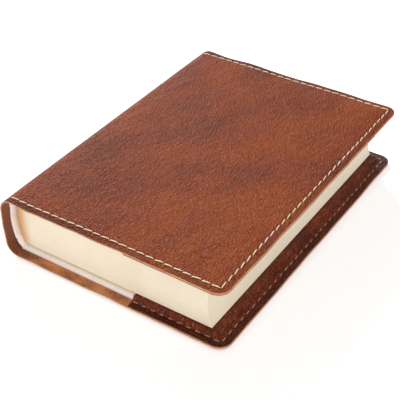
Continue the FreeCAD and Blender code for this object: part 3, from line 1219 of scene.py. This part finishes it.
@dataclass
class Stitching:
    """Saddle stitches of one cover, on the outer face and on the flap's margin.

    A stitch slants in degrees, buries its ends in the leather, and is as full as its fullness. Its
    rings crowd towards the ends by their spread. The back's outer stitches sink by a share of
    their width, because the book rests on them, and the front's by a fixed depth.
    """

    jacket: JacketHalf
    flap: PocketFlap
    outer_length: float = 4.4
    outer_width: float = 0.56
    inner_length: float = 3.3
    inner_width: float = 0.36
    slant: float = 7.0
    bury: float = 0.38
    fullness: float = 3.5
    flatness: float = 0.8
    spread: float = 0.62
    length_spread: float = 0.05
    width_spread: float = 0.07
    slant_spread: float = 2.0
    back_sink_share: float = 0.62
    front_sink: float = 0.18

    def add_stitch(
        self, mesh: bmesh.types.BMesh, centre: Vector, way: Vector, facing: int,
        outer: bool, rng: random.Random
    ) -> None:
        """Add one thread arc that dips into the leather at both ends.

        Args:
            mesh: Mesh that the stitch is added to.
            centre: Middle of the stitch, on the leather.
            way: Direction of the seam.
            facing: 1 when the stitch is seen from above, -1 from below.
            outer: Whether it is one of the long stitches of the outer face.
            rng: Source of the small differences between stitches.
        """
        length = self.outer_length if outer else self.inner_length
        width = self.outer_width if outer else self.inner_width
        layer = mesh.verts.layers.float_vector[LAID]
        made = bmesh.ops.create_uvsphere(mesh, u_segments=8, v_segments=7, radius=1.0)["verts"]
        long = length * (1 + rng.uniform(-self.length_spread, self.length_spread)) / 2
        thick = width * (1 + rng.uniform(-self.width_spread, self.width_spread)) / 2
        tint = rng.random()
        for vertex in made:
            ball = vertex.co.copy()
            reach = math.copysign(abs(ball.z) ** self.spread, ball.z)
            at_pole = abs(ball.z) >= 0.999
            girth = 0.0 if at_pole else max(0.0, 1 - abs(reach) ** self.fullness) ** 0.5
            radial = math.hypot(ball.x, ball.y) or 1.0
            around = math.atan2(ball.y, ball.x) / (2 * math.pi) if radial < 1.0 else 0.0
            vertex[layer] = Vector((reach / 2, around, tint))
            height = ball.y / radial * girth * thick * self.flatness
            height += width * (1 - self.flatness) - self.bury * reach ** 4
            vertex.co = Vector((reach * long, ball.x / radial * girth * thick, height))
        slant = self.slant + rng.uniform(-self.slant_spread, self.slant_spread)
        heading = math.atan2(way.y, way.x) + math.radians(slant) * facing
        flip = Matrix.Diagonal((1.0, 1.0, float(facing), 1.0))
        turn = Matrix.Rotation(heading, 4, "Z")
        bmesh.ops.transform(mesh, matrix=Matrix.Translation(centre) @ turn @ flip, verts=made)
        for face in {face for vertex in made for face in vertex.link_faces}:
            face.material_index = 0 if outer else 1

    def build(self, finish: Sequence[bpy.types.Material]) -> bpy.types.Object:
        """Sew every run, outside and inside, as one piece that rides on the cover.

        Args:
            finish: Thread of the outer face and of the flap.

        Returns:
            The stitches.
        """
        side, flap = self.jacket.side, self.flap
        rng = random.Random(11 if side is Side.FRONT else 23)
        sink = self.outer_width * self.back_sink_share if side is Side.BACK else self.front_sink
        mesh = bmesh.new()
        mesh.verts.layers.float_vector.new(LAID)
        for run in self.jacket.runs():
            for index in range(run.count):
                spot = run.start + run.way * run.step * (index + 0.5)
                level = self.jacket.height_over(spot.x, spot.y) - side.outward * sink
                outside = Vector((spot.x, spot.y, level))
                self.add_stitch(mesh, outside, run.way, side.outward, True, rng)
                if spot.x > flap.left + 1:
                    inside = flap.place(spot.x, spot.y)
                    self.add_stitch(mesh, inside, run.way, -side.outward, False, rng)
        bmesh.ops.recalc_face_normals(mesh, faces=mesh.faces)
        piece = add_piece(mesh, f"{side.value}_stitches", finish)
        return settle(piece, (f"{side.value}_stitching",), (side.body,))


# ---------------------------------------------------------------- the case


@dataclass
class CaseBoards:
    """The two covered boards of the case, with soft arrises and rounded fore-edge corners."""

    arris: float = 0.35
    corner: float = 1.6
    crisp: float = math.radians(40)
    square: float = math.radians(60)

    def build_board(self, side: Side, finish: bpy.types.Material) -> bpy.types.Object:
        """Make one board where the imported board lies.

        Args:
            side: The cover that it stiffens.
            finish: The covering paper.

        Returns:
            The finished board.
        """
        node = f"{side.value}_board"
        low, high = packed_box(node)
        mesh = bmesh.new()
        bmesh.ops.create_cube(mesh, size=1.0)
        bmesh.ops.scale(mesh, vec=high - low, verts=mesh.verts)
        bmesh.ops.translate(mesh, vec=(high + low) / 2, verts=mesh.verts)
        upright = [
            edge for edge in mesh.edges
            if all(vertex.co.x > 0 for vertex in edge.verts)
            and abs(edge.verts[0].co.y - edge.verts[1].co.y) < 1
        ]
        round_edges(mesh, upright, self.corner, 5)
        sharp = [edge for edge in mesh.edges if edge.calc_face_angle() > self.square]
        round_edges(mesh, sharp, self.arris, 3)
        piece = add_piece(mesh, f"{side.value}_cover_board", [finish])
        piece.data.set_sharp_from_angle(angle=self.crisp)
        return settle(piece, (node,), (side.body,))

    def build(self, finish: bpy.types.Material) -> list[bpy.types.Object]:
        """Make both boards."""
        return [self.build_board(side, finish) for side in Side]


@dataclass
class CoverJoint:
    """Covering paper of the case in the leather's fold, from the spine to one board.

    The strip lies inside the leather's fold, with some air between them. Its arc starts at the
    tuck, in degrees round the fold from the spine, and its other end bites into the board.
    """

    jacket: JacketHalf
    thickness: float
    air: float
    tuck: float
    bite: float = 0.35
    arris: float = 0.1
    steps: int = 18
    along_step: float = 12.0

    def __post_init__(self) -> None:
        """Work out the strip's arc, just inside the leather's fold."""
        jacket = self.jacket
        self.half_height = packed_box("case_spine")[1].y
        self.radius = jacket.radius - jacket.thickness - self.air - self.thickness / 2
        self.centre = Vector((jacket.fold_x + jacket.radius, 0.0, jacket.fold_z))
        self.first = math.radians(self.tuck)
        self.last = math.acos((self.centre.x - jacket.board_left - self.bite) / self.radius)

    def place(self, share: float, along: float) -> Vector:
        """Find a point of the strip's middle face.

        Args:
            share: Share of the way from the spine to the board.
            along: Y of the point.

        Returns:
            The point.
        """
        angle = self.first + (self.last - self.first) * share
        up = self.jacket.side.outward
        spoke = Vector((-math.cos(angle), 0.0, up * math.sin(angle)))
        point = self.centre + spoke * self.radius
        point.y = along
        return point

    def build(self, finish: bpy.types.Material) -> bpy.types.Object:
        """Make the strip and thicken it.

        Args:
            finish: The covering paper.

        Returns:
            The finished strip.
        """
        side, half = self.jacket.side, self.half_height
        marks = [step / self.steps for step in range(self.steps + 1)]
        mesh = cut_sheet(marks, Ruler(((-half, half, self.along_step),)).marks())
        place_sheet(mesh, LAID, self.place, self.place)
        if side is Side.BACK:
            bmesh.ops.reverse_faces(mesh, faces=mesh.faces)
        piece = add_piece(mesh, f"{side.value}_cover_joint", [finish])
        thicken(piece, self.thickness, offset=0.0, arris=self.arris)
        return settle(piece, (), ("book_block", side.body), self.jacket.bend)


JOINT_SIZES: dict[Side, dict[str, float]] = {
    Side.FRONT: {"thickness": 0.32, "air": 0.02, "tuck": -8.0},
    Side.BACK: {"thickness": 0.9, "air": 1.35, "tuck": -12.0},
}


# ---------------------------------------------------------------- the text block


@dataclass
class TextBlock:
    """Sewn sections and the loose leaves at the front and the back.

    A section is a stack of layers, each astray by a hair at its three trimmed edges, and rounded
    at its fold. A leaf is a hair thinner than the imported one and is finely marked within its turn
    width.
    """

    layers: int = 7
    stray: float = 0.05
    fold_round: float = 0.22
    leaf_slack: float = 0.03
    turn_width: float = 34.0
    turn_step: float = 1.6
    flat_step: float = 12.0
    along_step: float = 17.0
    leaves: tuple[str, ...] = ("front_flyleaf", *(f"front_leaf_{n}" for n in range(1, 7)))
    sections: tuple[str, ...] = tuple(f"section_{n:02d}" for n in range(2, 18))

    def __post_init__(self) -> None:
        """Read the block's outline and find the centre of its rounded back."""
        bottom, _ = packed_box("back_flyleaf")
        top_low, top_high = packed_box("front_flyleaf")
        crown, _ = packed_box("section_09")
        self.middle = (bottom.z + top_high.z) / 2
        self.half_height = top_high.y
        half, sag = top_low.z - self.middle, top_low.x - crown.x
        self.radius = (half * half + sag * sag) / (2 * sag)
        self.crown_x = crown.x
        self.width = top_high.x - self.back_x(top_high.z)

    def back_x(self, level: float) -> float:
        """X of the rounded back at a level."""
        rise = level - self.middle
        return self.crown_x + self.radius - math.sqrt(self.radius ** 2 - rise ** 2)

    def outline(self, level: float, inset: Sequence[float]) -> list[Vector]:
        """Corners of the block at a level, each edge drawn in by its own inset.

        Args:
            level: Level above the table.
            inset: How far the spine edge, fore-edge, tail and head are drawn in.

        Returns:
            The four corners, counter-clockwise from the tail of the spine.
        """
        spine, fore, tail, head = inset
        left, right = self.back_x(level) + spine, self.back_x(level) + self.width - fore
        return [
            Vector((left, tail - self.half_height, level)),
            Vector((right, tail - self.half_height, level)),
            Vector((right, self.half_height - head, level)),
            Vector((left, self.half_height - head, level)),
        ]

    def build_section(self, name: str, finish: bpy.types.Material) -> bpy.types.Object:
        """Stack the folded sheets of one sewn section, each a hair out of line.

        Args:
            name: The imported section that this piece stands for.
            finish: The paper.

        Returns:
            The finished section.
        """
        low, high = packed_box(name)
        rng = random.Random(name)
        thick = (high.z - low.z) / self.layers
        outlines = []
        for layer in range(self.layers):
            share = (layer + 0.5) / self.layers * 2 - 1
            inset = [self.fold_round * share * share]
            inset += [rng.uniform(0.0, self.stray) for _ in range(3)]
            outlines.append(self.outline(low.z + layer * thick, inset))
            outlines.append(self.outline(low.z + (layer + 1) * thick, inset))
        mesh = bmesh.new()
        mesh.faces.new([mesh.verts.new(place) for place in outlines[0]])
        ring = mesh.edges[:]
        for outline in outlines[1:]:
            grown = bmesh.ops.extrude_edge_only(mesh, edges=ring)["geom"]
            for vertex in (item for item in grown if isinstance(item, bmesh.types.BMVert)):
                vertex.co = min(outline, key=lambda place: (place.xy - vertex.co.xy).length)
            ring = [
                item for item in grown if isinstance(item, bmesh.types.BMEdge)
                and item.is_boundary and all(vertex in grown for vertex in item.verts)
            ]
        bmesh.ops.holes_fill(mesh, edges=ring, sides=4)
        bmesh.ops.recalc_face_normals(mesh, faces=mesh.faces)
        place_layer = mesh.verts.layers.float_vector.new(LAID)
        for vertex in mesh.verts:
            vertex[place_layer] = vertex.co
        piece = add_piece(mesh, f"{name}_sheets", [finish], smooth=False)
        return settle(piece, (name,), ("book_block",))

    def build_leaf(
        self, name: str, body: str, parent: str | None, finish: bpy.types.Material
    ) -> bpy.types.Object:
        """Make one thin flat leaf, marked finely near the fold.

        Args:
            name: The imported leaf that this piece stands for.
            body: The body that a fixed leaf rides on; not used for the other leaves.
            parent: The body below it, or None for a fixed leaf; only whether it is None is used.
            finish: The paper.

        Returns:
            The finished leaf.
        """
        low, high = packed_box(name)
        level = (low.z + high.z) / 2
        left = self.back_x(level)
        turned = left + self.turn_width
        across = Ruler((
            (left, turned, self.turn_step), (turned, left + self.width, self.flat_step)))
        along = Ruler(((-self.half_height, self.half_height, self.along_step),))
        mesh = cut_sheet(across.marks(), along.marks())

        def place(place_x: float, place_y: float) -> Vector:
            """Point of the leaf's middle face."""
            return Vector((place_x, place_y, level))

        place_sheet(mesh, LAID, place, place)
        piece = add_piece(mesh, f"{name}_paper", [finish])
        thicken(piece, high.z - low.z - self.leaf_slack, offset=0.0)
        slot = "endpaper" if "flyleaf" in name else "page_paper"
        if parent is None:
            return settle(piece, (name,), (body,))
        bend = (Vector((left, 0.0, level)) * MM, Vector((turned, 0.0, level)) * MM)
        return settle(piece, (name,), (parent, body), bend)

    def build(self, finish: bpy.types.Material) -> list[bpy.types.Object]:
        """Make every section and leaf.

        Args:
            finish: The paper.

        Returns:
            The pieces, from the first section to the back flyleaf.
        """
        made = [self.build_section(name, finish) for name in self.sections]
        parents = (*self.leaves[1:], "book_block")
        for name, parent in zip(self.leaves, parents):
            made.append(self.build_leaf(name, name, parent, finish))
        made.append(self.build_leaf("back_flyleaf", "book_block", None, finish))
        return made


# ---------------------------------------------------------------- studio


@dataclass(frozen=True)
class Lamp:
    """Soft square light that faces the book: place and side in metres, power in watts."""

    name: str
    place: tuple[float, float, float]
    size: float
    power: float

    def hang(self) -> bpy.types.Object:
        """Hang the light.

        Returns:
            The light.
        """
        data = bpy.data.lights.new(self.name, "AREA")
        data.energy, data.size = self.power, self.size
        lamp = bpy.data.objects.new(self.name, data)
        lamp.location = self.place
        lamp.rotation_euler = Vector(self.place).to_track_quat("Z", "Y").to_euler()
        bpy.context.scene.collection.objects.link(lamp)
        return lamp


@dataclass
class Studio:
    """Plain pale floor, soft light and the camera.

    The camera's angles are in degrees, its place in millimetres and its lens as on a full frame.
    """

    azimuth: float = 34.43
    elevation: float = 37.36
    roll: float = -1.23
    lens: float = 85.5
    place: tuple[float, float, float] = (210.3, -315.6, 292.2)
    sensor: float = 36.0
    floor_reach: float = 3000.0
    floor_drop: float = 0.3
    floor_glow: float = 0.35
    surroundings: float = 0.45
    lamps: tuple[Lamp, ...] = (
        Lamp("window", (-1.45, 1.05, 0.85), 0.45, 43.0),
        Lamp("softbox", (1.0, -1.1, 0.9), 1.0, 15.0),
    )

    def camera(self) -> bpy.types.Object:
        """Stand the camera so that it looks down on the book.

        Returns:
            The camera.
        """
        azimuth, elevation = math.radians(self.azimuth), math.radians(self.elevation)
        back = Vector((
            math.sin(azimuth) * math.cos(elevation), -math.cos(azimuth) * math.cos(elevation),
            math.sin(elevation)))
        right = Vector((math.cos(azimuth), math.sin(azimuth), 0.0))
        up = back.cross(right)
        roll = math.radians(self.roll)
        side = right * math.cos(roll) + up * math.sin(roll)
        turned = Matrix((side, back.cross(side), back)).transposed().to_4x4()
        data = bpy.data.cameras.new("camera")
        data.lens, data.sensor_width = self.lens, self.sensor
        camera = bpy.data.objects.new("camera", data)
        camera.matrix_world = Matrix.Translation(Vector(self.place) * MM) @ turned
        bpy.context.scene.collection.objects.link(camera)
        bpy.context.scene.camera = camera
        return camera

    def floor(self) -> bpy.types.Object:
        """Lay a wide pale floor just under the book.

        Returns:
            The floor.
        """
        mesh = bmesh.new()
        bmesh.ops.create_grid(mesh, x_segments=1, y_segments=1, size=self.floor_reach)
        bmesh.ops.translate(mesh, vec=(0.0, 0.0, -self.floor_drop), verts=mesh.verts)
        shader = Shader("pale_floor")
        finish = shader.close({
            "Base Color": (0.9, 0.9, 0.9, 1.0), "Roughness": 0.9,
            "Emission Color": (1.0, 1.0, 1.0, 1.0), "Emission Strength": self.floor_glow,
        })
        floor = add_piece(mesh, "floor", [finish])
        return floor

    def build(self) -> None:
        """Set the camera, floor, lights and white surroundings."""
        self.camera()
        self.floor()
        for lamp in self.lamps:
            lamp.hang()
        world = bpy.data.worlds.new("surroundings")
        world.use_nodes = True
        background = world.node_tree.nodes["Background"]
        background.inputs["Color"].default_value = (1.0, 1.0, 1.0, 1.0)
        background.inputs["Strength"].default_value = self.surroundings
        scene = bpy.context.scene
        scene.world = world
        scene.view_settings.view_transform = "Standard"


# ---------------------------------------------------------------- the whole book


@dataclass
class Book:
    """Every finish and sub-assembly of the book."""

    finishes: dict[str, bpy.types.Material] = field(default_factory=dict)

    def mix_finishes(self) -> None:
        """Make every material once."""
        spine_x = packed_box("section_09")[0].x
        recipes = (
            GrainLeather("jacket_grain", dye(116, 52, 29), dye(146, 66, 31), dye(165, 79, 30),
                         dye(200, 150, 120), dye(84, 33, 19)),
            FleshLeather("jacket_flesh", dye(112, 58, 30), dye(206, 134, 78), spine_shade=0.16),
            FleshLeather("jacket_cut_edge", dye(166, 104, 70), dye(222, 168, 130),
                         fibre=0.4, sheen=0.1),
            GrainLeather("flap_grain", dye(100, 38, 18), dye(130, 54, 25), dye(154, 68, 34),
                         dye(180, 116, 88), dye(48, 15, 8), pebble=1.3, relief=1.2, shade=0.6,
                         gleam=0.25, roughness=0.34, shine=0.22, patch=16.0),
            FleshLeather("flap_cut_edge", dye(130, 76, 48), dye(190, 134, 96),
                         fibre=0.4, sheen=0.1),
            WaxedThread("waxed_thread", dye(255, 244, 220), dye(255, 222, 188)),
            WaxedThread("worn_thread", dye(238, 198, 172), dye(178, 128, 100)),
            BookPaper("book_paper", dye(244, 231, 208), dye(230, 212, 184), dye(206, 148, 86),
                      spine_x),
            CoveredCard("case_paper", dye(252, 242, 234), dye(240, 222, 212)),
            CoveredCard("endpaper", dye(240, 230, 208), dye(228, 214, 188), tooth=0.6,
                        rise=0.015, roughness=0.8),
            PlainWeave("mull", dye(214, 190, 150), dye(164, 134, 96), thread=0.45),
            PlainWeave("linen", dye(224, 210, 180), dye(160, 140, 110), thread=0.3),
        )
        self.finishes = {recipe.name: recipe.material() for recipe in recipes}

    def picked(self, *names: str) -> list[bpy.types.Material]:
        """Finishes of the given names, in that order."""
        return [self.finishes[name] for name in names]

    def dress_nodes(self) -> None:
        """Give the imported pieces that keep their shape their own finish."""
        for node, finish in (
            ("case_spine", "case_paper"), ("front_pastedown", "endpaper"),
            ("back_pastedown", "endpaper"), ("spine_lining", "mull"), ("sewing_tapes", "linen"),
        ):
            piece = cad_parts[node]
            piece.data.materials.clear()
            piece.data.materials.append(self.finishes[finish])
            report(piece)

    def build(self) -> None:
        """Build and dress the book from the outside in."""
        self.mix_finishes()
        leather = self.picked("jacket_grain", "jacket_flesh", "jacket_cut_edge")
        lining = self.picked("flap_grain", "jacket_flesh", "flap_cut_edge")
        thread = self.picked("waxed_thread", "worn_thread")
        for side in Side:
            jacket = JacketHalf(side)
            flap = PocketFlap(jacket)
            jacket.build(leather)
            flap.build(lining)
            Stitching(jacket, flap).build(thread)
            CoverJoint(jacket, **JOINT_SIZES[side]).build(self.finishes["case_paper"])
        CaseBoards().build(self.finishes["case_paper"])
        TextBlock().build(self.finishes["book_paper"])
        self.dress_nodes()


def main() -> None:
    """Build the studio and the book."""
    logging.basicConfig(level=logging.INFO, format="%(name)s: %(message)s")
    Studio().build()
    Book().build()


if __name__ == "__main__":
    main()
